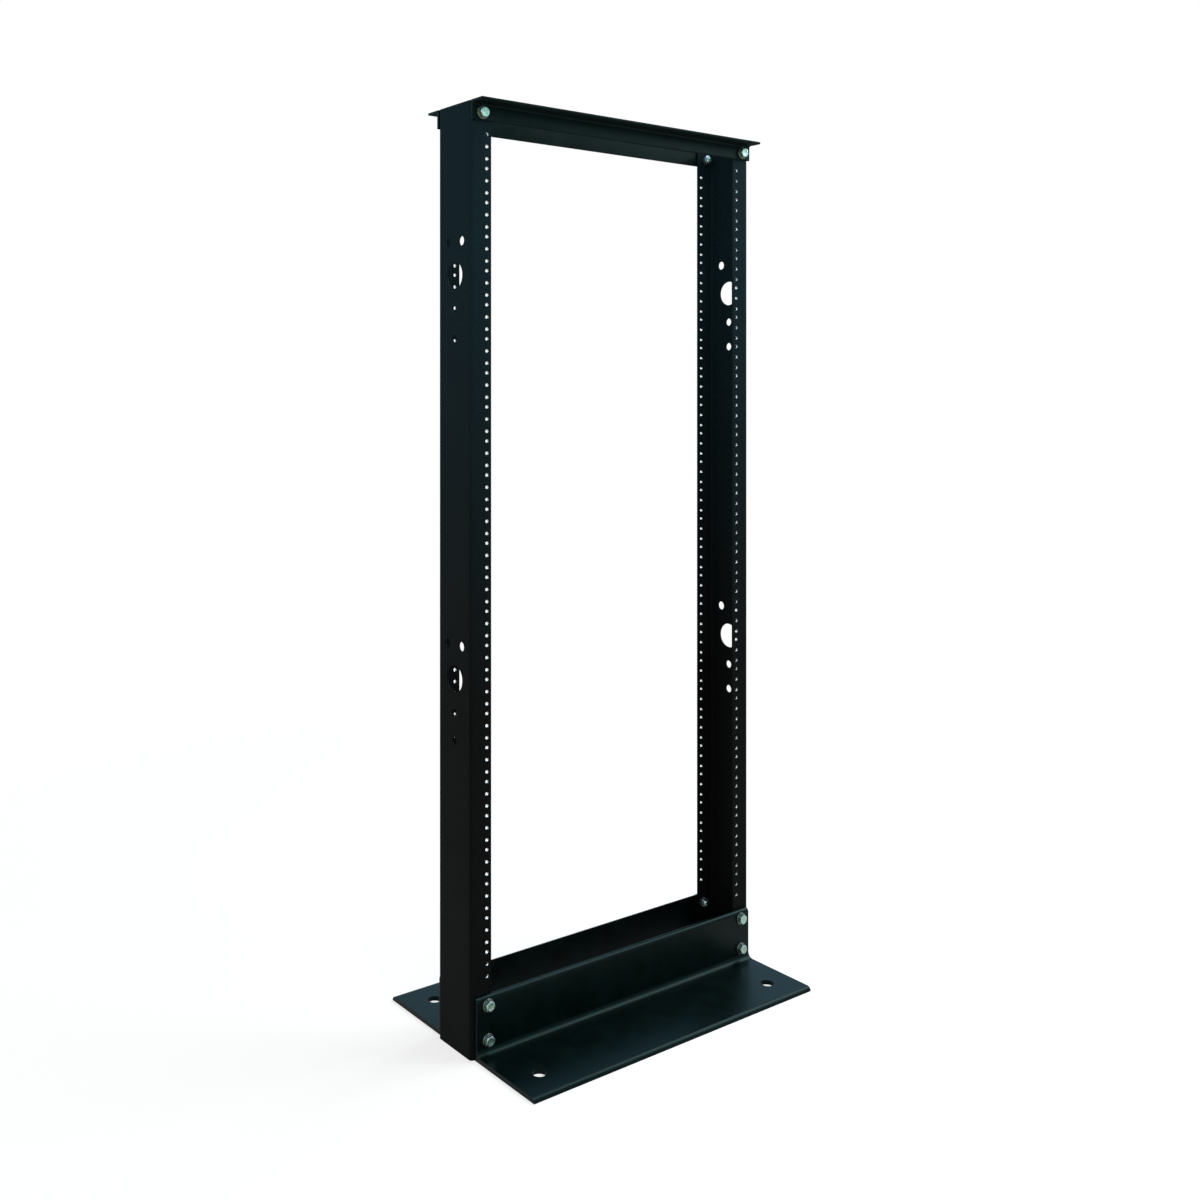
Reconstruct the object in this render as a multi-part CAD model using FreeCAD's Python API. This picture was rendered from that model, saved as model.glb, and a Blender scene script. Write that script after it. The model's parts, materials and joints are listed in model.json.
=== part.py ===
import FreeCAD, Part
import math
import os

# Two post open frame rack. Millimetres, +Z up, the front faces -Y and +X is to the right seen from the front.
# The origin is on the floor in the middle of the base, and every piece is first made at the front right.

# The whole rack; its width comes from the hole columns and the flanges beside them
overall_height = 1244.6

# Uprights: one channel each, bent from sheet, with the web outward and the flanges pointing into the bay
channel_depth = 76.2
flange_width = 32.375
sheet_thickness = 2.5
bend_inner_radius = 2.5

# Small holes for the equipment, in the steps of a 44.45 mm unit, the same down all four flanges: as many whole
# units as fit with at least these margins
mounting_hole_diameter = 5.5
mounting_column_spacing = 465.1
mounting_hole_edge_distance = 7.125
unit_steps = (15.875, 15.875, 12.7)
column_top_margin = 36.15
column_bottom_margin = 97.0

# Groups of holes in each web: a large cable hole, a pair of holes above it and two single holes below it
web_group_drops = (225.0, 756.0)
cable_hole_diameter = 36.5
pair_hole_diameter = 12.7
pair_hole_rise = 44.45
pair_hole_spacing = 31.75
single_hole_diameter = 11.5
single_hole_drops = (44.45, 82.55)

# Top angles, as long as the rack is wide
top_leg_height = 25.4
top_leg_reach = 25.4
top_leg_thickness = 3.2
top_inner_radius = 3.0
top_toe_radius = 1.2

# Base angles, a little shorter than the rack is wide, with two holes each for floor anchors
base_angle_inset = 5.5
base_leg_height = 81.0
base_foot_reach = 127.0
base_leg_thickness = 6.35
base_inner_radius = 8.7
base_toe_radius = 6.0
floor_hole_diameter = 19.0
floor_hole_end_distance = 42.3
floor_hole_reach = 82.5

# Bolts, washers and nuts, the same at every corner
bolt_diameter = 7.8
bolt_hole_clearance = 0.6
bolt_head_height = 5.3
bolt_end_length = 3.5
bolt_end_chamfer = 0.9
nut_height = 6.7
nut_thread_clearance = 0.1
washer_diameter = 17.5
washer_thickness = 1.65
washer_bore_clearance = 0.45
hex_across_flats = 12.7
hex_chamfer_inset = 0.4
hex_chamfer_angle = 30.0
hex_turn_step = 23.0

# Where the bolts sit: each washer just clears the inner curve of its angle, and the base bolts stand nearer
# the bay than the middle of the flange
washer_curve_clearance = 0.2
base_bolt_offset = 6.4
base_bolt_edge_distance = 11.7

# Worked out from the sizes above
overall_width = mounting_column_spacing - 2 * mounting_hole_edge_distance + 2 * flange_width
unit_height = sum(unit_steps)
unit_count = int((overall_height - column_top_margin - column_bottom_margin) / unit_height)
base_angle_length = overall_width - 2 * base_angle_inset
half_width = overall_width / 2
half_depth = channel_depth / 2
flange_middle = half_width - flange_width / 2
washer_drop = washer_diameter / 2 + washer_curve_clearance
top_bolt_height = overall_height - top_leg_thickness - top_inner_radius - washer_drop
lower_bolt_height = base_leg_thickness + base_inner_radius + washer_drop
upper_bolt_height = base_leg_height - base_bolt_edge_distance

SAME_PLACE = 0.001
ORIGIN = FreeCAD.Vector(0, 0, 0)
X_AXIS = FreeCAD.Vector(1, 0, 0)
Y_AXIS = FreeCAD.Vector(0, 1, 0)
Z_AXIS = FreeCAD.Vector(0, 0, 1)


def corner_edges(prism, axis, corners):
    """The straight edges of a prism that run along its axis through the given corners."""
    edges = []
    for edge in prism.Edges:
        start, end = edge.Vertexes[0].Point, edge.Vertexes[-1].Point
        along = (end - start).cross(axis).Length < SAME_PLACE
        for corner in corners:
            offset = start - corner
            if along and offset.cross(axis).Length < SAME_PLACE:
                edges.append(edge)
    return edges


def hole(diameter, centre, axis, wall):
    """A round cutter through a wall, centred on a point in or on it."""
    length = 4 * wall
    return Part.makeCylinder(diameter / 2, length, centre - axis * (length / 2), axis)


def bolt_hole(centre, wall):
    """A cutter for a bolt through one wall."""
    return hole(bolt_diameter + 2 * bolt_hole_clearance, centre, Y_AXIS, wall)


def mounting_hole_heights():
    """Heights of the equipment holes, from the top one down."""
    heights = [overall_height - column_top_margin - unit_steps[-1] / 2]
    for step in (unit_steps * unit_count)[:-1]:
        heights.append(heights[-1] - step)
    return heights


def bolt_places():
    """Name, x, height and angle thickness of the three bolts through a flange of the right-hand upright."""
    base_x = flange_middle - base_bolt_offset
    return [
        ("top", flange_middle, top_bolt_height, top_leg_thickness),
        ("upper_base", base_x, upper_bolt_height, base_leg_thickness),
        ("lower_base", base_x, lower_bolt_height, base_leg_thickness),
    ]


def channel():
    """The bent section, from the floor to the top: a box with rounded web corners, less its inside."""
    outside = Part.makeBox(
        flange_width, channel_depth, overall_height,
        FreeCAD.Vector(half_width - flange_width, -half_depth, 0),
    )
    outer_corners = [FreeCAD.Vector(half_width, y, 0) for y in (-half_depth, half_depth)]
    outer_radius = bend_inner_radius + sheet_thickness
    outside = outside.makeFillet(outer_radius, corner_edges(outside, Z_AXIS, outer_corners))

    inside_x = half_width - sheet_thickness
    inside_y = half_depth - sheet_thickness
    inside = Part.makeBox(
        flange_width, 2 * inside_y, overall_height,
        FreeCAD.Vector(inside_x - flange_width, -inside_y, 0),
    )
    inner_corners = [FreeCAD.Vector(inside_x, y, 0) for y in (-inside_y, inside_y)]
    inside = inside.makeFillet(bend_inner_radius, corner_edges(inside, Z_AXIS, inner_corners))
    return outside.cut(inside)


def flange_holes():
    """Cutters for the equipment holes and the bolt holes in both flanges."""
    cutters = []
    for y in (-half_depth, half_depth):
        for z in mounting_hole_heights():
            centre = FreeCAD.Vector(mounting_column_spacing / 2, y, z)
            cutters.append(hole(mounting_hole_diameter, centre, Y_AXIS, sheet_thickness))
        for _, x, z, _ in bolt_places():
            cutters.append(bolt_hole(FreeCAD.Vector(x, y, z), sheet_thickness))
    return cutters


def web_holes():
    """Cutters for the groups of larger holes in the web."""
    cutters = []
    for drop in web_group_drops:
        z = overall_height - drop
        places = [(cable_hole_diameter, 0, z)]
        for y in (-pair_hole_spacing / 2, pair_hole_spacing / 2):
            places.append((pair_hole_diameter, y, z + pair_hole_rise))
        for single_drop in single_hole_drops:
            places.append((single_hole_diameter, 0, z - single_drop))
        for diameter, y, height in places:
            centre = FreeCAD.Vector(half_width, y, height)
            cutters.append(hole(diameter, centre, X_AXIS, sheet_thickness))
    return cutters


def upright():
    """The right-hand upright with all its holes."""
    return channel().cut(Part.makeCompound(flange_holes() + web_holes()))


def angle_bar(length, height, reach, thickness, inner_radius, toe_radius):
    """An angle with its heel on the X axis, one leg standing up and the other lying towards -Y."""
    profile = [
        (0, 0),
        (-reach, 0),
        (-reach, thickness),
        (-thickness, thickness),
        (-thickness, height),
        (0, height),
    ]
    points = [FreeCAD.Vector(-length / 2, y, z) for y, z in profile]
    bar = Part.Face(Part.makePolygon(points + points[:1])).extrude(X_AXIS * length)
    foot_toe, inner_corner, leg_toe = points[2:5]
    bar = bar.makeFillet(toe_radius, corner_edges(bar, X_AXIS, [foot_toe, leg_toe]))
    return bar.makeFillet(inner_radius, corner_edges(bar, X_AXIS, [inner_corner]))


def drilled_for_bolts(bar, levels):
    """A front angle with holes for the bolts of the named levels at both ends."""
    cutters = []
    for level, x, z, wall in bolt_places():
        if level in levels:
            cutters.append(bolt_hole(FreeCAD.Vector(x, -half_depth, z), wall))
            cutters.append(bolt_hole(FreeCAD.Vector(-x, -half_depth, z), wall))
    return bar.cut(Part.makeCompound(cutters))


def top_angle():
    """The front top angle, its outer leg level with the tops of the uprights."""
    bar = angle_bar(
        overall_width, top_leg_height, top_leg_reach, top_leg_thickness, top_inner_radius, top_toe_radius
    )
    bar = bar.mirror(ORIGIN, Z_AXIS)
    bar.translate(FreeCAD.Vector(0, -half_depth, overall_height))
    return drilled_for_bolts(bar, ["top"])


def base_angle():
    """The front base angle, its foot on the floor and drilled for two floor anchors."""
    bar = angle_bar(
        base_angle_length, base_leg_height, base_foot_reach, base_leg_thickness, base_inner_radius, base_toe_radius
    )
    bar.translate(FreeCAD.Vector(0, -half_depth, 0))
    anchor_x = base_angle_length / 2 - floor_hole_end_distance
    for x in (-anchor_x, anchor_x):
        anchor = FreeCAD.Vector(x, -half_depth - floor_hole_reach, 0)
        bar = bar.cut(hole(floor_hole_diameter, anchor, Z_AXIS, base_leg_thickness))
    return drilled_for_bolts(bar, ["upper_base", "lower_base"])


def hexagon(height):
    """A hexagonal block on the XY plane, with the corners of its upper end chamfered."""
    corner_radius = hex_across_flats / 2 / math.cos(math.radians(30))
    corners = []
    for number in range(6):
        angle = math.radians(60 * number)
        corners.append(FreeCAD.Vector(corner_radius * math.cos(angle), corner_radius * math.sin(angle), 0))
    block = Part.Face(Part.makePolygon(corners + corners[:1])).extrude(Z_AXIS * height)
    end_radius = hex_across_flats / 2 - hex_chamfer_inset
    far_radius = end_radius + height / math.tan(math.radians(hex_chamfer_angle))
    return block.common(Part.makeCone(far_radius, end_radius, height))


def bolt(grip):
    """A hexagon bolt on the Z axis, its head up and the face it clamps at zero."""
    head = hexagon(bolt_head_height)
    head.translate(Z_AXIS * washer_thickness)
    radius = bolt_diameter / 2
    end = -(grip + nut_height + bolt_end_length)
    shank_start = end + bolt_end_chamfer
    point = Part.makeCone(radius - bolt_end_chamfer, radius, bolt_end_chamfer, Z_AXIS * end)
    shank = Part.makeCylinder(radius, washer_thickness - shank_start, Z_AXIS * shank_start)
    return head.fuse([shank, point]).removeSplitter()


def washer():
    """A flat washer under the bolt's head."""
    bore = Part.makeCylinder(bolt_diameter / 2 + washer_bore_clearance, washer_thickness)
    return Part.makeCylinder(washer_diameter / 2, washer_thickness).cut(bore)


def nut(grip):
    """A hexagon nut on the bolt, chamfered at both ends and against the far side of the flange."""
    upper = hexagon(nut_height)
    lower = upper.mirror(Z_AXIS * (nut_height / 2), Z_AXIS)
    bore = Part.makeCylinder(bolt_diameter / 2 + nut_thread_clearance, nut_height)
    block = upper.common(lower).cut(bore)
    block.translate(Z_AXIS * -(grip + nut_height))
    return block


def fasteners():
    """The bolts, washers and nuts of the front right corner by name, each bolt stopped at its own turn."""
    shapes = {}
    for number, (level, x, z, wall) in enumerate(bolt_places()):
        grip = wall + sheet_thickness
        for kind, shape in (("bolt", bolt(grip)), ("washer", washer()), ("nut", nut(grip))):
            shape.rotate(ORIGIN, Z_AXIS, hex_turn_step * number)
            shape.rotate(ORIGIN, X_AXIS, 90)
            shape.translate(FreeCAD.Vector(x, -half_depth - wall, z))
            shapes[f"{level}_{kind}"] = shape
    return shapes


def pieces():
    """Every piece by name, the others mirrored from those at the front right."""
    right = upright()
    shapes = {"right_upright": right, "left_upright": right.mirror(ORIGIN, X_AXIS)}
    for name, front in (("top_angle", top_angle()), ("base_angle", base_angle())):
        shapes[f"front_{name}"] = front
        shapes[f"rear_{name}"] = front.mirror(ORIGIN, Y_AXIS)
    for name, front_right in fasteners().items():
        front_left = front_right.mirror(ORIGIN, X_AXIS)
        shapes[f"front_right_{name}"] = front_right
        shapes[f"front_left_{name}"] = front_left
        shapes[f"rear_right_{name}"] = front_right.mirror(ORIGIN, Y_AXIS)
        shapes[f"rear_left_{name}"] = front_left.mirror(ORIGIN, Y_AXIS)
    return shapes


os.makedirs("parts", exist_ok=True)
for name, shape in pieces().items():
    shape.exportStep(f"parts/{name}.step")
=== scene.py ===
import json
import math

import bmesh
import bpy
from mathutils import Matrix, Vector


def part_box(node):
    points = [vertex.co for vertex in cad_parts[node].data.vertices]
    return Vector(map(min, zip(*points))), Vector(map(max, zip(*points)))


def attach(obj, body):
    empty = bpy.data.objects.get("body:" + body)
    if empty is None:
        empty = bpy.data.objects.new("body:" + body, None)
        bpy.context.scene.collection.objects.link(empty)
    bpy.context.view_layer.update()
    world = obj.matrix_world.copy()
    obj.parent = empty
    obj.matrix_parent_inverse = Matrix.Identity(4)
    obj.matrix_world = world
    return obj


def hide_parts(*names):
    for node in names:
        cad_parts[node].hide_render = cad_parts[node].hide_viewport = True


# Looks of the two post open frame rack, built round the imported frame. Metres, +Z up, the front faces -Y.
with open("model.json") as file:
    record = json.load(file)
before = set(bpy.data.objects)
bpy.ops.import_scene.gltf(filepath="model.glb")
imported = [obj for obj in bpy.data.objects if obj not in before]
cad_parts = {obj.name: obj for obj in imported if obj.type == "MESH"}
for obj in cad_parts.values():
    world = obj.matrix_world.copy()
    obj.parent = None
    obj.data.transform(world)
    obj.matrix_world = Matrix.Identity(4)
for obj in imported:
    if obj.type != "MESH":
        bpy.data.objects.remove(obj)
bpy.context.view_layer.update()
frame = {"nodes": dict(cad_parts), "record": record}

# The camera stands at the front left, level, at the height from which the photograph was taken
CAMERA_PLACE = (-1.2012, -1.3953, 0.8643)
CAMERA_TURN = 35.755
CAMERA_LENS = 38.33
CAMERA_SHIFT = (0.0899, -0.1721)
CAMERA_REACH = 60.0

# Where the bolt stacks are: one at each corner of the top and two at each corner of the base
SIDES = ("front", "rear")
POSTS = ("left", "right")
LEVELS = ("top", "upper_base", "lower_base")

# What the solids leave out of a bolt, its washer and its nut; all other sizes are read from the solids
BOLT_PITCH = 0.00141
BOLT_THREAD_DEPTH = 0.00085
BOLT_TIP_CHAMFER = 0.001
HEAD_SEAT_HEIGHT = 0.0004
HEAD_DISH_RADIUS = 0.0044
HEAD_DISH_SLOPE = 0.0006
HEAD_DISH_DEPTH = 0.00018
HEX_CHAMFER_INSET = 0.0004
HEX_CHAMFER_ANGLE = math.radians(30)
WASHER_EDGE_RADIUS = 0.0005
WASHER_EDGE_STEPS = 4
NUT_COUNTERSINK = 0.0006
RING_STEPS = 48

# Tapped holes for the equipment
SHEET_THICKNESS = 0.0025
HOLE_STEPS = (0.015875, 0.015875, 0.0127)
HOLE_THREAD_PITCH = 0.00106
HOLE_THREAD_DEPTH = 0.00072
HOLE_THREAD_INSET = 0.00002
HOLE_LEAD_IN = 0.0001
HOLE_THREAD_STEPS = 24

SHARP_ANGLE = math.radians(32)
SAME_PLACE = 1e-6
MERGE_DISTANCE = 1e-7
MILLIMETRE = 0.001

# Heights on the rack between which the colours blend from the foot's to the top's; on the uprights this is
# painted light, the upper part lighter and bluer where cool light falls from above
BLEND_HEIGHTS = (0.45, 1.05)

# The plain studio round the rack
FLOOR_SIZE = 14.0
WHITE = (1.0, 1.0, 1.0, 1.0)


def new_material(name):
    """A material with its node tree, its links and its main shader."""
    made = bpy.data.materials.new(name)
    made.use_nodes = True
    tree = made.node_tree
    return made, tree.nodes, tree.links, tree.nodes["Principled BSDF"]


def object_place(nodes):
    """The place of a point in the object's own metres."""
    return nodes.new("ShaderNodeTexCoord").outputs["Object"]


def noise(nodes, links, place, scale, detail=2.0):
    """The value of a noise texture at a place on the surface."""
    texture = nodes.new("ShaderNodeTexNoise")
    texture.inputs["Scale"].default_value = scale
    texture.inputs["Detail"].default_value = detail
    links.new(place, texture.inputs["Vector"])
    return texture.outputs["Fac"]


def spread(nodes, links, value, source, target=(0.0, 1.0)):
    """A value's range, carried over to another range."""
    mapped = nodes.new("ShaderNodeMapRange")
    mapped.inputs["From Min"].default_value = source[0]
    mapped.inputs["From Max"].default_value = source[1]
    mapped.inputs["To Min"].default_value = target[0]
    mapped.inputs["To Max"].default_value = target[1]
    links.new(value, mapped.inputs["Value"])
    return mapped.outputs["Result"]


def blend_colours(nodes, links, share, first, second):
    """Two colours, or outputs that give colours, mixed by a share."""
    mixed = nodes.new("ShaderNodeMix")
    mixed.data_type = "RGBA"
    links.new(share, mixed.inputs["Factor"])
    for name, colour in (("A", first), ("B", second)):
        socket = next(s for s in mixed.inputs if s.name == name and s.type == "RGBA")
        if isinstance(colour, bpy.types.NodeSocket):
            links.new(colour, socket)
        else:
            socket.default_value = colour
    return next(s for s in mixed.outputs if s.type == "RGBA")


def bump(nodes, links, height, distance, normal=None):
    """A bumped surface normal, over a given one."""
    made = nodes.new("ShaderNodeBump")
    made.inputs["Distance"].default_value = distance
    links.new(height, made.inputs["Height"])
    if normal is not None:
        links.new(normal, made.inputs["Normal"])
    return made.outputs["Normal"]


def softened_edges(nodes, radius):
    """The surface normal with the edges rounded by a thick coat."""
    rounded = nodes.new("ShaderNodeBevel")
    rounded.samples = 4
    rounded.inputs["Radius"].default_value = radius
    return rounded.outputs["Normal"]


def height_blend(nodes, links, place, low, high):
    """A colour that changes from the foot of the rack to its top."""
    parts = nodes.new("ShaderNodeSeparateXYZ")
    links.new(place, parts.inputs["Vector"])
    rise = spread(nodes, links, parts.outputs["Z"], BLEND_HEIGHTS)
    return blend_colours(nodes, links, rise, low, high)


def dull_undersides(nodes, links, roughness, dullest):
    """A roughness that rises to its dullest on faces that look at the floor, which spray reaches last."""
    sloping, level = -0.3, -0.8
    parts = nodes.new("ShaderNodeSeparateXYZ")
    links.new(nodes.new("ShaderNodeNewGeometry").outputs["Normal"], parts.inputs["Vector"])
    dull = spread(nodes, links, parts.outputs["Z"], (sloping, level), (0.0, dullest))
    rougher = nodes.new("ShaderNodeMath")
    rougher.operation = "MAXIMUM"
    links.new(roughness, rougher.inputs[0])
    links.new(dull, rougher.inputs[1])
    return rougher.outputs["Value"]


def powder_coat():
    """Black powder coat of the uprights, with orange peel and a faint speckle. Its colour is painted lighter
    and bluer towards the top: painted light from above, not a colour of the coat.
    """
    foot_colour = (0.0023, 0.0016, 0.0012, 1.0)
    # top_colour is painted light: the coat is shown lighter and bluer high up, where cool light falls on the
    # uprights from above
    top_colour = (0.0046, 0.0150, 0.0200, 1.0)
    speckle_colour = (0.0040, 0.0050, 0.0050, 1.0)
    speckle_scale, speckle_range = 1100.0, (0.35, 0.7)
    cloud_scale, cloud_range = 9.0, (0.3, 0.7)
    smoothest, roughest = 0.42, 0.52
    peel_scale, peel_depth = 520.0, 0.00006
    edge_radius = 0.0006

    coat, nodes, links, shader = new_material("black_powder_coat")
    place = object_place(nodes)
    # Painted light: the colour blends by height from the dark foot to the lighter, bluer top
    tint = height_blend(nodes, links, place, foot_colour, top_colour)
    speckle = spread(nodes, links, noise(nodes, links, place, speckle_scale), speckle_range)
    links.new(blend_colours(nodes, links, speckle, tint, speckle_colour), shader.inputs["Base Color"])
    clouds = noise(nodes, links, place, cloud_scale, 4.0)
    links.new(spread(nodes, links, clouds, cloud_range, (smoothest, roughest)), shader.inputs["Roughness"])
    shader.inputs["Specular IOR Level"].default_value = 0.018
    shader.inputs["Specular Tint"].default_value = (0.8, 1.0, 1.0, 1.0)
    peel = noise(nodes, links, place, peel_scale, 1.0)
    normal = bump(nodes, links, peel, peel_depth, softened_edges(nodes, edge_radius))
    links.new(normal, shader.inputs["Normal"])
    return coat


def satin_paint():
    """Satin black paint of the rolled angles: darker and smoother than the powder coat, a little green."""
    foot_colour = (0.0004, 0.0020, 0.0018, 1.0)
    top_colour = (0.0003, 0.0022, 0.0014, 1.0)
    flow_colour = (0.0008, 0.0030, 0.0030, 1.0)
    flow_scale, flow_range = 35.0, (0.35, 0.65)
    smoothest, roughest, underside = 0.30, 0.36, 0.9
    scale_scale, scale_depth = 240.0, 0.00005
    edge_radius = 0.0005

    paint, nodes, links, shader = new_material("black_satin_paint")
    place = object_place(nodes)
    tint = height_blend(nodes, links, place, foot_colour, top_colour)
    flow = spread(nodes, links, noise(nodes, links, place, flow_scale, 3.0), flow_range)
    links.new(blend_colours(nodes, links, flow, tint, flow_colour), shader.inputs["Base Color"])
    gloss = spread(nodes, links, flow, (0.0, 1.0), (smoothest, roughest))
    links.new(dull_undersides(nodes, links, gloss, underside), shader.inputs["Roughness"])
    shader.inputs["Specular IOR Level"].default_value = 0.075
    shader.inputs["Specular Tint"].default_value = (0.65, 1.0, 0.95, 1.0)
    mill_scale = noise(nodes, links, place, scale_scale, 3.0)
    normal = bump(nodes, links, mill_scale, scale_depth, softened_edges(nodes, edge_radius))
    links.new(normal, shader.inputs["Normal"])
    return paint


def zinc_plating(name, green, lilac, olive):
    """Zinc plating with green, lilac and olive patches and fine turned rings."""
    patch_scale, patch_range = 190.0, (0.42, 0.58)
    stain_scale, stain_range, most_stain = 330.0, (0.46, 0.62), 0.85
    grain_scale, grain_range, grain_depth = 480.0, (0.3, 0.7), 0.00012
    smoothest, roughest = 0.28, 0.50
    ring_scale, ring_wobble, ring_depth = 900.0, 1.5, 0.00002

    zinc, nodes, links, shader = new_material(name)
    place = object_place(nodes)
    patches = spread(nodes, links, noise(nodes, links, place, patch_scale, 2.0), patch_range)
    colour = blend_colours(nodes, links, patches, green, lilac)
    stain = spread(nodes, links, noise(nodes, links, place, stain_scale, 3.0), stain_range, (0.0, most_stain))
    links.new(blend_colours(nodes, links, stain, colour, olive), shader.inputs["Base Color"])
    shader.inputs["Metallic"].default_value = 1.0
    grain = noise(nodes, links, place, grain_scale, 2.0)
    links.new(spread(nodes, links, grain, grain_range, (smoothest, roughest)), shader.inputs["Roughness"])
    rings = nodes.new("ShaderNodeTexWave")
    rings.wave_type = "RINGS"
    rings.rings_direction = "Z"
    rings.inputs["Scale"].default_value = ring_scale
    rings.inputs["Distortion"].default_value = ring_wobble
    links.new(place, rings.inputs["Vector"])
    turned = bump(nodes, links, rings.outputs["Fac"], ring_depth)
    links.new(bump(nodes, links, grain, grain_depth, turned), shader.inputs["Normal"])
    return zinc


def bright_zinc():
    """Plating of the bolts and nuts."""
    green = (0.29, 0.50, 0.40, 1.0)
    lilac = (0.41, 0.39, 0.55, 1.0)
    olive = (0.29, 0.32, 0.16, 1.0)
    return zinc_plating("bright_zinc", green, lilac, olive)


def dull_zinc():
    """Plating of the washers, duller and more olive."""
    green = (0.10, 0.15, 0.11, 1.0)
    lilac = (0.14, 0.14, 0.14, 1.0)
    olive = (0.09, 0.10, 0.05, 1.0)
    return zinc_plating("dull_zinc", green, lilac, olive)


def cut_steel():
    """Bright steel of the freshly tapped threads, with a thin film of oil in patches."""
    bare_colour = (0.42, 0.43, 0.42, 1.0)
    oiled_colour = (0.26, 0.28, 0.28, 1.0)
    film_scale, film_range = 60.0, (0.35, 0.65)
    bare_roughness, oiled_roughness = 0.12, 0.18

    steel, nodes, links, shader = new_material("bright_thread_steel")
    place = object_place(nodes)
    film = spread(nodes, links, noise(nodes, links, place, film_scale, 3.0), film_range)
    links.new(blend_colours(nodes, links, film, bare_colour, oiled_colour), shader.inputs["Base Color"])
    shader.inputs["Metallic"].default_value = 1.0
    roughness = spread(nodes, links, film, (0.0, 1.0), (bare_roughness, oiled_roughness))
    links.new(roughness, shader.inputs["Roughness"])
    return steel


def lathe(mesh, rows):
    """Joins rings of points round the Z axis into a skin. Each row is a radius and a height, as numbers or as
    functions of the angle, and a radius of 0 closes the skin with one point."""
    rings = []
    for radius, height in rows:
        if radius == 0:
            rings.append([mesh.verts.new((0, 0, height))])
            continue
        ring = []
        for step in range(RING_STEPS):
            angle = 2 * math.pi * step / RING_STEPS
            out = radius(angle) if callable(radius) else radius
            rise = height(angle) if callable(height) else height
            ring.append(mesh.verts.new((out * math.cos(angle), out * math.sin(angle), rise)))
        rings.append(ring)
    for first, second in zip(rings, rings[1:]):
        for step in range(RING_STEPS):
            places = ((first, step), (first, step + 1), (second, step + 1), (second, step))
            corners = [ring[index % len(ring)] for ring, index in places]
            mesh.faces.new(list(dict.fromkeys(corners)))


def thread(mesh, root, crest, pitch, low, high, steps, widest=None):
    """A screw thread between two heights: a line of roots and a line of crests, each one helix.
    Returns its points."""
    turns = math.ceil((high - low) / pitch) + 2
    lines = {}

    def point(step, line):
        if step == steps:
            return point(0, line + 2)
        if (step, line) not in lines:
            angle = 2 * math.pi * step / steps
            height = low + (line / 2 + step / steps - 1) * pitch
            radius = crest if line % 2 else root
            if widest is not None:
                radius = min(radius, widest(height))
            lines[step, line] = mesh.verts.new((radius * math.cos(angle), radius * math.sin(angle), height))
        return lines[step, line]

    for line in range(2 * turns):
        for step in range(steps):
            mesh.faces.new((point(step, line), point(step + 1, line),
                            point(step + 1, line + 1), point(step, line + 1)))
    made = set(lines.values())
    for height, outside in ((low, -1), (high, 1)):
        geometry = list(made)
        geometry += [edge for edge in mesh.edges if all(v in made for v in edge.verts)]
        geometry += [face for face in mesh.faces if all(v in made for v in face.verts)]
        cut = bmesh.ops.bisect_plane(mesh, geom=geometry, dist=MERGE_DISTANCE, plane_co=(0, 0, height),
                                     plane_no=(0, 0, outside), clear_outer=True)
        made = {v for v in made if v.is_valid}
        made |= {v for v in cut["geom_cut"] if isinstance(v, bmesh.types.BMVert)}
    return made


def rim_edges(mesh, points, height):
    """The open edges of a skin at a height."""
    at_height = {v for v in points if abs(v.co.z - height) < SAME_PLACE}
    return [edge for edge in mesh.edges if edge.is_boundary and all(v in at_height for v in edge.verts)]


def new_piece(name, mesh, material, place=None):
    """An object of the finished mesh, riding on the rack, with smooth round faces and crisp edges."""
    bmesh.ops.remove_doubles(mesh, verts=mesh.verts, dist=MERGE_DISTANCE)
    bmesh.ops.recalc_face_normals(mesh, faces=mesh.faces)
    data = bpy.data.meshes.new(name)
    mesh.to_mesh(data)
    mesh.free()
    data.materials.append(material)
    data.shade_smooth()
    data.set_sharp_from_angle(angle=SHARP_ANGLE)
    piece = bpy.data.objects.new(name, data)
    bpy.context.scene.collection.objects.link(piece)
    if place is not None:
        piece.matrix_world = place
    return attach(piece, "root")


def outward_frame(side, x, y, z, turn=0.0):
    """Place of a round piece whose own Z axis points out of the rack's front or rear, its own Y upwards."""
    half_turn = math.pi if side == "rear" else 0.0
    return (Matrix.Translation((x, y, z)) @ Matrix.Rotation(half_turn, 4, "Z")
            @ Matrix.Rotation(math.pi / 2, 4, "X") @ Matrix.Rotation(turn, 4, "Z"))


def hexagon_side(corner_radius):
    """Distance from the axis to a hexagon's side as a function of the angle from one corner."""
    sector = math.pi / 3

    def distance(angle):
        return corner_radius * math.cos(sector / 2) / math.cos(angle % sector - sector / 2)

    return distance


def chamfered(side, face_radius, height, direction):
    """Height of a chamfered hexagon's rim as a function of the angle: set back at the corners."""
    def rim(angle):
        drop = max(0.0, side(angle) - face_radius) * math.tan(HEX_CHAMFER_ANGLE)
        return height - direction * drop

    return rim


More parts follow.
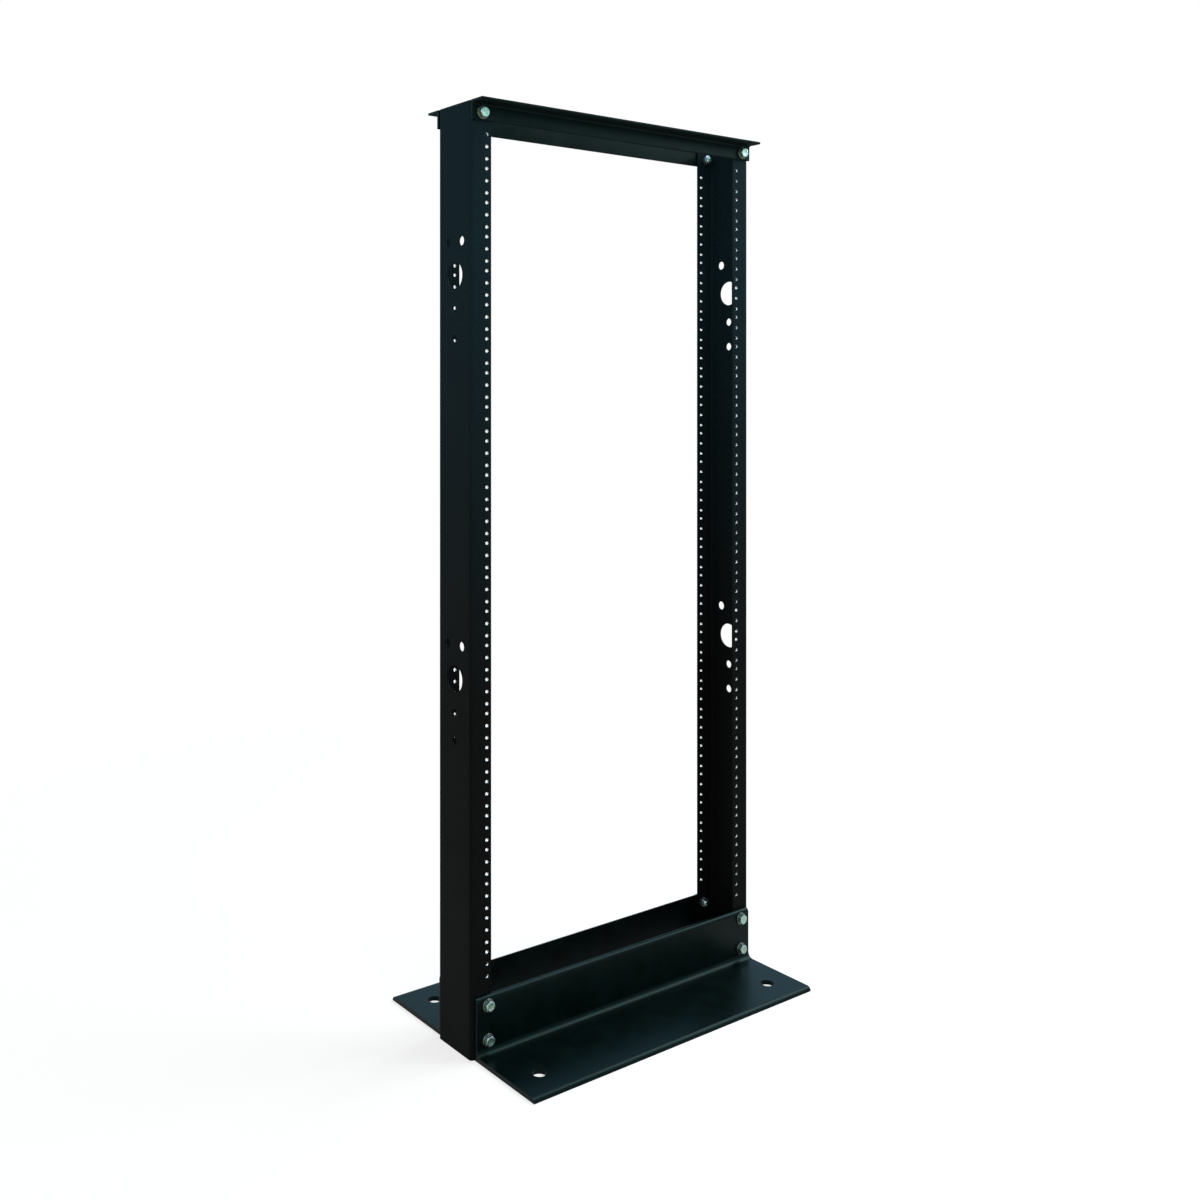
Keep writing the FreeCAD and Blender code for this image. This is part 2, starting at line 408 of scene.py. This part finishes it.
class Stack:
    """One bolt, washer and nut as the solids have them: radii from the bolt's axis, and heights along it,
    outwards from the face of the angle."""

    def __init__(self, side, post, level):
        self.name = f"{side}_{post}_{level}"
        low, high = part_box(f"{self.name}_washer")
        seat = low.y if side == "rear" else high.y
        self.frame = outward_frame(side, (low.x + high.x) / 2, seat, (low.z + high.z) / 2)
        points = {kind: self.read(kind) for kind in ("bolt", "washer", "nut")}
        self.washer_ends = self.ends(points["washer"])
        self.bolt_ends = self.ends(points["bolt"])
        self.nut_ends = self.ends(points["nut"])
        self.washer_bore = min(radius for radius, _, _ in points["washer"])
        self.washer_radius = max(radius for radius, _, _ in points["washer"])
        self.nut_bore = min(radius for radius, _, _ in points["nut"])
        self.bolt_radius = max(radius for radius, _, height in points["bolt"] if height < 0)
        self.head_corner, self.head_turn, _ = max(points["bolt"])
        self.nut_corner, self.nut_turn, _ = max(points["nut"])

    def read(self, kind):
        """Radius, angle and height of each corner of a solid."""
        node = frame["nodes"][f"{self.name}_{kind}"]
        into_stack = self.frame.inverted() @ node.matrix_world
        places = [into_stack @ vertex.co for vertex in node.data.vertices]
        return [(math.hypot(p.x, p.y), math.atan2(p.y, p.x), p.z) for p in places]

    def ends(self, points):
        """Lowest and highest of the points."""
        heights = [height for _, _, height in points]
        return min(heights), max(heights)

    def turned(self, turn):
        """The stack's own place, turned round the bolt."""
        return self.frame @ Matrix.Rotation(turn, 4, "Z")


def hex_bolt(stack, material):
    """A bolt with a slightly dished and chamfered head, a plain shank and a rolled thread past the nut."""
    side = hexagon_side(stack.head_corner)
    face_radius = side(math.pi / 6) - HEX_CHAMFER_INSET
    seat, top = stack.washer_ends[1], stack.bolt_ends[1]
    tip, shank_end = stack.bolt_ends[0], stack.nut_ends[1]
    radius = stack.bolt_radius
    root = radius - BOLT_THREAD_DEPTH

    def tip_radius(height):
        return radius - max(0.0, BOLT_TIP_CHAMFER - (height - tip))

    mesh = bmesh.new()
    lathe(mesh, [
        (0, top - HEAD_DISH_DEPTH),
        (HEAD_DISH_RADIUS - HEAD_DISH_SLOPE, top - HEAD_DISH_DEPTH),
        (HEAD_DISH_RADIUS, top),
        (face_radius, top),
        (side, chamfered(side, face_radius, top, 1)),
        (side, seat + HEAD_SEAT_HEIGHT),
        (face_radius, seat + HEAD_SEAT_HEIGHT),
        (face_radius, seat),
        (radius, seat),
        (radius, shank_end),
        (0, shank_end),
    ])
    points = thread(mesh, root, radius, BOLT_PITCH, tip, shank_end, RING_STEPS, tip_radius)
    for height in (tip, shank_end):
        bmesh.ops.edgeloop_fill(mesh, edges=rim_edges(mesh, points, height))
    piece = new_piece(f"{stack.name}_hex_bolt", mesh, material, stack.turned(stack.head_turn))
    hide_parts(f"{stack.name}_bolt")
    return piece


def flat_washer(stack, material):
    """A stamped washer: its outer edge is rolled over on the outside and sharp where it meets the angle."""
    low, high = stack.washer_ends
    bore, radius = stack.washer_bore, stack.washer_radius
    arc = []
    for step in range(WASHER_EDGE_STEPS + 1):
        angle = math.pi / 2 * step / WASHER_EDGE_STEPS
        across = radius - WASHER_EDGE_RADIUS * (1 - math.cos(angle))
        arc.append((across, high - WASHER_EDGE_RADIUS * (1 - math.sin(angle))))
    mesh = bmesh.new()
    lathe(mesh, [(bore, low), (radius, low)] + arc + [(bore, high), (bore, low)])
    piece = new_piece(f"{stack.name}_flat_washer", mesh, material, stack.frame)
    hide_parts(f"{stack.name}_washer")
    return piece


def hex_nut(stack, material):
    """A nut chamfered on both faces, its bore countersunk at both ends."""
    side = hexagon_side(stack.nut_corner)
    face_radius = side(math.pi / 6) - HEX_CHAMFER_INSET
    low, high = stack.nut_ends
    bore = stack.nut_bore
    mesh = bmesh.new()
    lathe(mesh, [
        (bore, low + NUT_COUNTERSINK),
        (bore + NUT_COUNTERSINK, low),
        (face_radius, low),
        (side, chamfered(side, face_radius, low, -1)),
        (side, chamfered(side, face_radius, high, 1)),
        (face_radius, high),
        (bore + NUT_COUNTERSINK, high),
        (bore, high - NUT_COUNTERSINK),
        (bore, low + NUT_COUNTERSINK),
    ])
    piece = new_piece(f"{stack.name}_hex_nut", mesh, material, stack.turned(stack.nut_turn))
    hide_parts(f"{stack.name}_nut")
    return piece


def mounting_holes():
    """Half the column spacing, the hole radius and the heights of the holes, from the mounts of the frame."""
    mounts = {mount["name"]: mount for mount in frame["record"]["mounts"]}
    top, bottom = mounts["rack_holes_top_unit"], mounts["rack_holes_bottom_unit"]
    unit = sum(HOLE_STEPS)
    half_spacing = top["dims"]["spacing_x_mm"] * MILLIMETRE / 2
    half_pair = top["dims"]["spacing_y_mm"] * MILLIMETRE / 2
    count = round((top["pos_m"][2] - bottom["pos_m"][2]) / unit) + 1
    heights = [top["pos_m"][2] + half_pair]
    for step in (HOLE_STEPS * count)[:-1]:
        heights.append(heights[-1] - step)
    return half_spacing, top["dims"]["hole_r_mm"] * MILLIMETRE, heights


def tapped_hole(hole_radius):
    """The thread of one hole with its two lead-ins, which have the second material. The hole's outer end is
    at height 0."""
    root = hole_radius - HOLE_THREAD_INSET
    crest = root - HOLE_THREAD_DEPTH
    low, high = HOLE_LEAD_IN - SHEET_THICKNESS, -HOLE_LEAD_IN
    mesh = bmesh.new()
    points = thread(mesh, root, crest, HOLE_THREAD_PITCH, low, high, HOLE_THREAD_STEPS)
    for height, end in ((low, -SHEET_THICKNESS), (high, 0.0)):
        lip = bmesh.ops.extrude_edge_only(mesh, edges=rim_edges(mesh, points, height))["geom"]
        for part in lip:
            if isinstance(part, bmesh.types.BMVert):
                across = Vector((part.co.x, part.co.y, 0)).normalized() * root
                part.co = (across.x, across.y, end)
            elif isinstance(part, bmesh.types.BMFace):
                part.material_index = 1
    single = bpy.data.meshes.new("tapped_hole")
    mesh.to_mesh(single)
    mesh.free()
    return single


def tapped_threads(side, post, steel, coat):
    """All the threads of one flange's holes as one piece of bright steel, with the coat on their lead-ins."""
    half_spacing, hole_radius, heights = mounting_holes()
    low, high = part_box(f"{post}_upright")
    x = half_spacing if post == "right" else -half_spacing
    y = high.y if side == "rear" else low.y
    single = tapped_hole(hole_radius)
    mesh = bmesh.new()
    for z in heights:
        place = outward_frame(side, x, y, z)
        single.transform(place)
        mesh.from_mesh(single)
        single.transform(place.inverted())
    bpy.data.meshes.remove(single)
    piece = new_piece(f"{side}_{post}_tapped_threads", mesh, steel)
    piece.data.materials.append(coat)
    return piece


def ray_kind(nodes, links, names):
    """1 for rays of the named kinds, and 0 for the rest."""
    path = nodes.new("ShaderNodeLightPath")
    total = path.outputs[names[0]]
    for name in names[1:]:
        most = nodes.new("ShaderNodeMath")
        most.operation = "MAXIMUM"
        links.new(total, most.inputs[0])
        links.new(path.outputs[name], most.inputs[1])
        total = most.outputs["Value"]
    return total


def background(nodes, strength):
    """A white light of the surround."""
    made = nodes.new("ShaderNodeBackground")
    made.inputs["Color"].default_value = WHITE
    made.inputs["Strength"].default_value = strength
    return made


def white_world():
    """An even surround: white where the camera sees it, softer as light, and cooler overhead where smooth
    steel mirrors it."""
    light_strength, plain_white = 0.45, 1.0
    low_colour, high_colour = (0.80, 0.98, 1.0, 1.0), (0.50, 1.0, 1.35, 1.0)
    low_rise, high_rise = -0.05, 0.45

    world = bpy.data.worlds.new("white_surround")
    bpy.context.scene.world = world
    world.use_nodes = True
    nodes, links = world.node_tree.nodes, world.node_tree.links
    nodes.remove(nodes["Background"])
    light = background(nodes, light_strength)
    mirrored = background(nodes, plain_white)
    seen = background(nodes, plain_white)
    parts = nodes.new("ShaderNodeSeparateXYZ")
    links.new(nodes.new("ShaderNodeTexCoord").outputs["Generated"], parts.inputs["Vector"])
    rise = spread(nodes, links, parts.outputs["Z"], (low_rise, high_rise))
    links.new(blend_colours(nodes, links, rise, low_colour, high_colour), mirrored.inputs["Color"])
    total = light
    for names, surround in ((("Is Glossy Ray", "Is Transmission Ray"), mirrored), (("Is Camera Ray",), seen)):
        mixed = nodes.new("ShaderNodeMixShader")
        links.new(ray_kind(nodes, links, names), mixed.inputs["Fac"])
        links.new(total.outputs[0], mixed.inputs[1])
        links.new(surround.outputs[0], mixed.inputs[2])
        total = mixed
    links.new(total.outputs[0], nodes["World Output"].inputs["Surface"])


def white_floor():
    """A pale floor that keeps the rack's soft shadow near it and runs into the white surround further out."""
    floor_colour = (0.92, 0.92, 0.92, 1.0)
    near, far = 0.6, 1.8
    near_glow, far_glow = 0.7, 1.0

    bpy.ops.mesh.primitive_plane_add(size=FLOOR_SIZE)
    floor = bpy.context.object
    floor.name = "studio_floor"
    paint = bpy.data.materials.new("pale_floor")
    paint.use_nodes = True
    nodes, links = paint.node_tree.nodes, paint.node_tree.links
    nodes.remove(nodes["Principled BSDF"])
    matt = nodes.new("ShaderNodeBsdfDiffuse")
    matt.inputs["Color"].default_value = floor_colour
    glow = nodes.new("ShaderNodeEmission")
    glow.inputs["Color"].default_value = WHITE
    reach = nodes.new("ShaderNodeVectorMath")
    reach.operation = "LENGTH"
    links.new(object_place(nodes), reach.inputs[0])
    share = spread(nodes, links, reach.outputs["Value"], (near, far), (near_glow, far_glow))
    seen = ray_kind(nodes, links, ("Is Camera Ray", "Is Glossy Ray", "Is Transmission Ray"))
    both = nodes.new("ShaderNodeMath")
    both.operation = "MULTIPLY"
    links.new(share, both.inputs[0])
    links.new(seen, both.inputs[1])
    mixed = nodes.new("ShaderNodeMixShader")
    links.new(both.outputs["Value"], mixed.inputs["Fac"])
    links.new(matt.outputs["BSDF"], mixed.inputs[1])
    links.new(glow.outputs["Emission"], mixed.inputs[2])
    links.new(mixed.outputs["Shader"], nodes["Material Output"].inputs["Surface"])
    floor.data.materials.append(paint)


def softbox(name, place, aim, width, depth, watts, colour=WHITE[:3]):
    """An area lamp that looks at a point, its width level."""
    lamp = bpy.data.lights.new(name, "AREA")
    lamp.color = colour
    lamp.shape = "RECTANGLE"
    lamp.size = width
    lamp.size_y = depth
    lamp.energy = watts
    holder = bpy.data.objects.new(name, lamp)
    bpy.context.scene.collection.objects.link(holder)
    holder.location = place
    holder.rotation_euler = (Vector(aim) - Vector(place)).to_track_quat("-Z", "Y").to_euler()


def studio_lamps():
    """A soft front light, a softer one from the left, and a panel above the right that draws the light lines
    along the rounded edges and inner curves of the base angles."""
    softbox("front_softbox", place=(-1.4, -3.2, 1.2), aim=(0, 0, 0.6), width=2.0, depth=2.0, watts=40.0)
    softbox("left_softbox", place=(-3.2, -0.6, 2.2), aim=(0, 0, 0.7), width=2.0, depth=2.0, watts=30.0)
    softbox("overhead_panel", place=(2.45, -0.7, 2.9), aim=(0, -0.05, 0.1), width=3.2, depth=2.5,
            watts=175.0, colour=(0.84, 0.98, 1.0))


def camera():
    """The camera of the photograph."""
    lens = bpy.data.cameras.new("camera")
    lens.lens = CAMERA_LENS
    lens.shift_x, lens.shift_y = CAMERA_SHIFT
    lens.clip_end = CAMERA_REACH
    holder = bpy.data.objects.new("camera", lens)
    bpy.context.scene.collection.objects.link(holder)
    holder.location = CAMERA_PLACE
    holder.rotation_euler = (math.pi / 2, 0.0, -math.radians(CAMERA_TURN))
    bpy.context.scene.camera = holder


def dress_rack():
    """Finishes on the steel members, and the detailed bolts, washers, nuts and threads."""
    bright, dull = bright_zinc(), dull_zinc()
    coat, paint = powder_coat(), satin_paint()
    finishes = {"upright": coat, "angle": paint, "bolt": bright, "washer": dull, "nut": bright}
    threads = cut_steel()
    for name, node in frame["nodes"].items():
        node.data.materials.clear()
        node.data.materials.append(finishes[name.rsplit("_", 1)[-1]])
    for side in SIDES:
        for post in POSTS:
            tapped_threads(side, post, threads, coat)
            for level in LEVELS:
                stack = Stack(side, post, level)
                for make, finish in ((hex_bolt, bright), (flat_washer, dull), (hex_nut, bright)):
                    make(stack, finish)


dress_rack()
white_world()
white_floor()
studio_lamps()
camera()
bpy.context.scene.view_settings.view_transform = "Standard"
